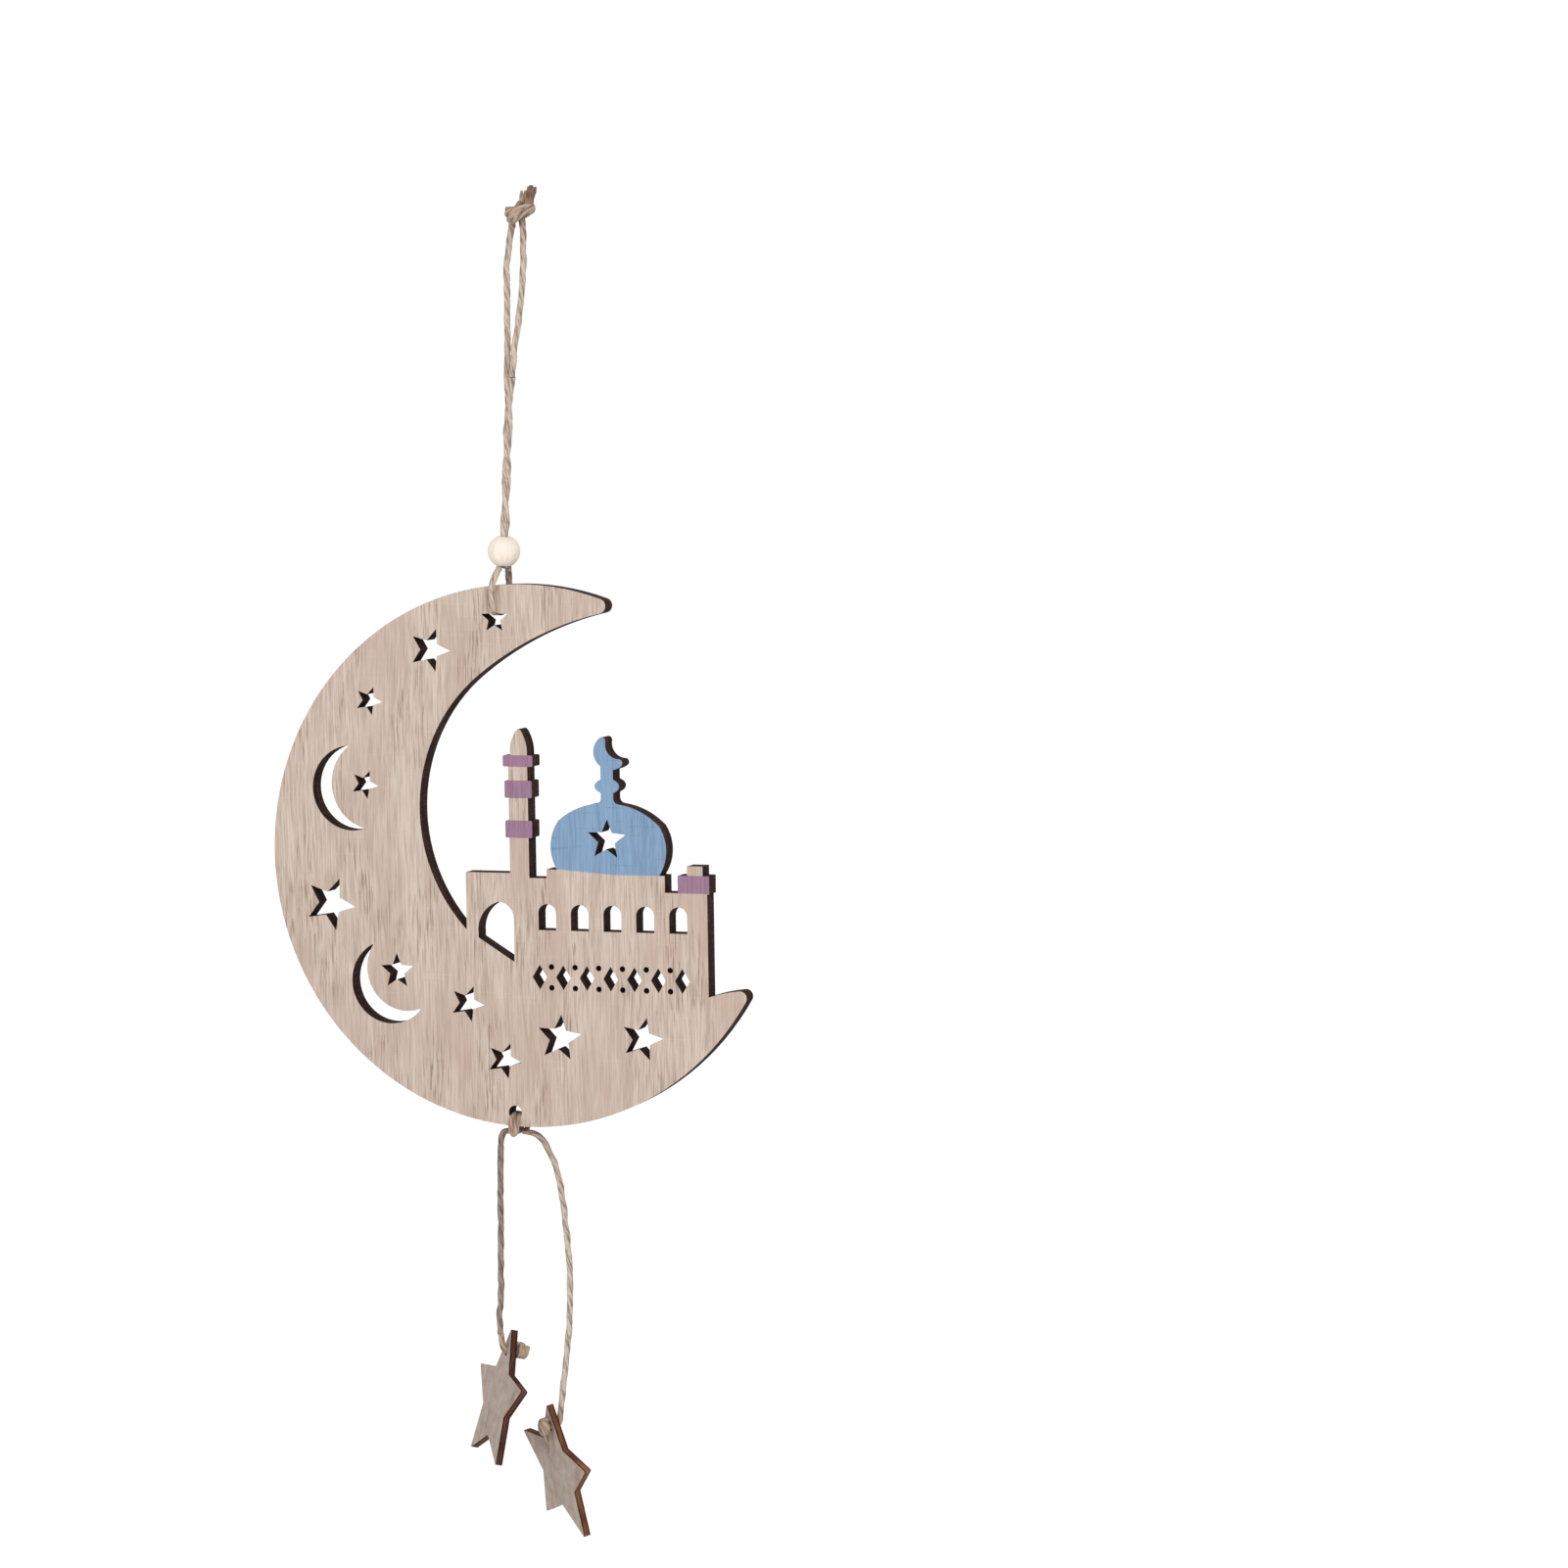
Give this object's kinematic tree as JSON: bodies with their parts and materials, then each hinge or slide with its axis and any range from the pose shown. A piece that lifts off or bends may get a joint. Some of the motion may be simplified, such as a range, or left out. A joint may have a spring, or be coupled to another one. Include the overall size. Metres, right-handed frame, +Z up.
{
  "type": "hanging eid crescent ornament",
  "caption": "Laser-cut wooden crescent with a mosque in its bay, hung on jute twine through a bead, with small stars dangling on twine below; hangs from a hook or branch.",
  "frame": {"origin": "inside the top of the hanging eye, just under its knot, in the middle of the board's thickness", "axes": "+Z up, +X to the right seen from the painted front, so the front faces -Y"},
  "size_m": [0.1305, 0.0283, 0.3474],
  "materials": {
    "board_wood": "matte, unvarnished, with charred cut edges and matte paint on the front",
    "bead_wood": "smooth matte",
    "star_wood": "matte thin ply with brown charred edges",
    "twine": "rough twisted jute"
  },
  "bodies": {
    "hanger": {"hanger_knot": "twine", "hanger_left_leg": "twine", "hanger_right_leg": "twine", "hanger_twisted_pair": "twine"},
    "bead": {"spacer_bead": "bead_wood"},
    "plate_loop": {"hanger_plate_loop": "twine"},
    "crescent": {"crescent_plate": "board_wood", "pendant_hitch": "twine"},
    "pendant_left": {"pendant_cord_left": "twine"},
    "pendant_right": {"pendant_cord_right": "twine"},
    "star_left": {"pendant_star_left": "star_wood", "pendant_knot_left": "twine"},
    "star_right": {"pendant_star_right": "star_wood", "pendant_knot_right": "twine"}
  },
  "joints": [
    {"name": "bead_slide", "type": "slide", "parent": "hanger", "child": "bead", "axis": [0.0563, 0, 0.9984], "range_m": [0, 0.036]},
    {"name": "ornament_twist", "type": "hinge", "parent": "hanger", "child": "plate_loop", "pos_m": [-0.00534, 0, -0.0859], "axis": [0.0563, 0, 0.9984], "range_deg": [-120, 120], "stiffness_Nm_per_rad": 0.0005},
    {"name": "plate_swing", "type": "hinge", "parent": "plate_loop", "child": "crescent", "pos_m": [-0.00715, 0, -0.0983], "axis": [0, 1, 0], "range_deg": [-15, 25]},
    {"name": "pendant_left_swing", "type": "hinge", "parent": "crescent", "child": "pendant_left", "pos_m": [-0.0072, 0, -0.23182], "axis": [1, 0, 0], "range_deg": [-25, 9]},
    {"name": "pendant_right_swing", "type": "hinge", "parent": "crescent", "child": "pendant_right", "pos_m": [-0.0007, 0, -0.23182], "axis": [1, 0, 0], "range_deg": [-9, 25]},
    {"name": "star_left_spin", "type": "hinge", "parent": "pendant_left", "child": "star_left", "pos_m": [-0.01038, 0.0002, -0.28517], "axis": [-0.0995, 0, 0.995], "range_deg": [-45, 30], "stiffness_Nm_per_rad": 0.00001},
    {"name": "star_right_spin", "type": "hinge", "parent": "pendant_right", "child": "star_right", "pos_m": [0.00654, -0.00071, -0.30311], "axis": [0.1191, 0, 0.9929], "range_deg": [-45, 30], "stiffness_Nm_per_rad": 0.00001}
  ]
}
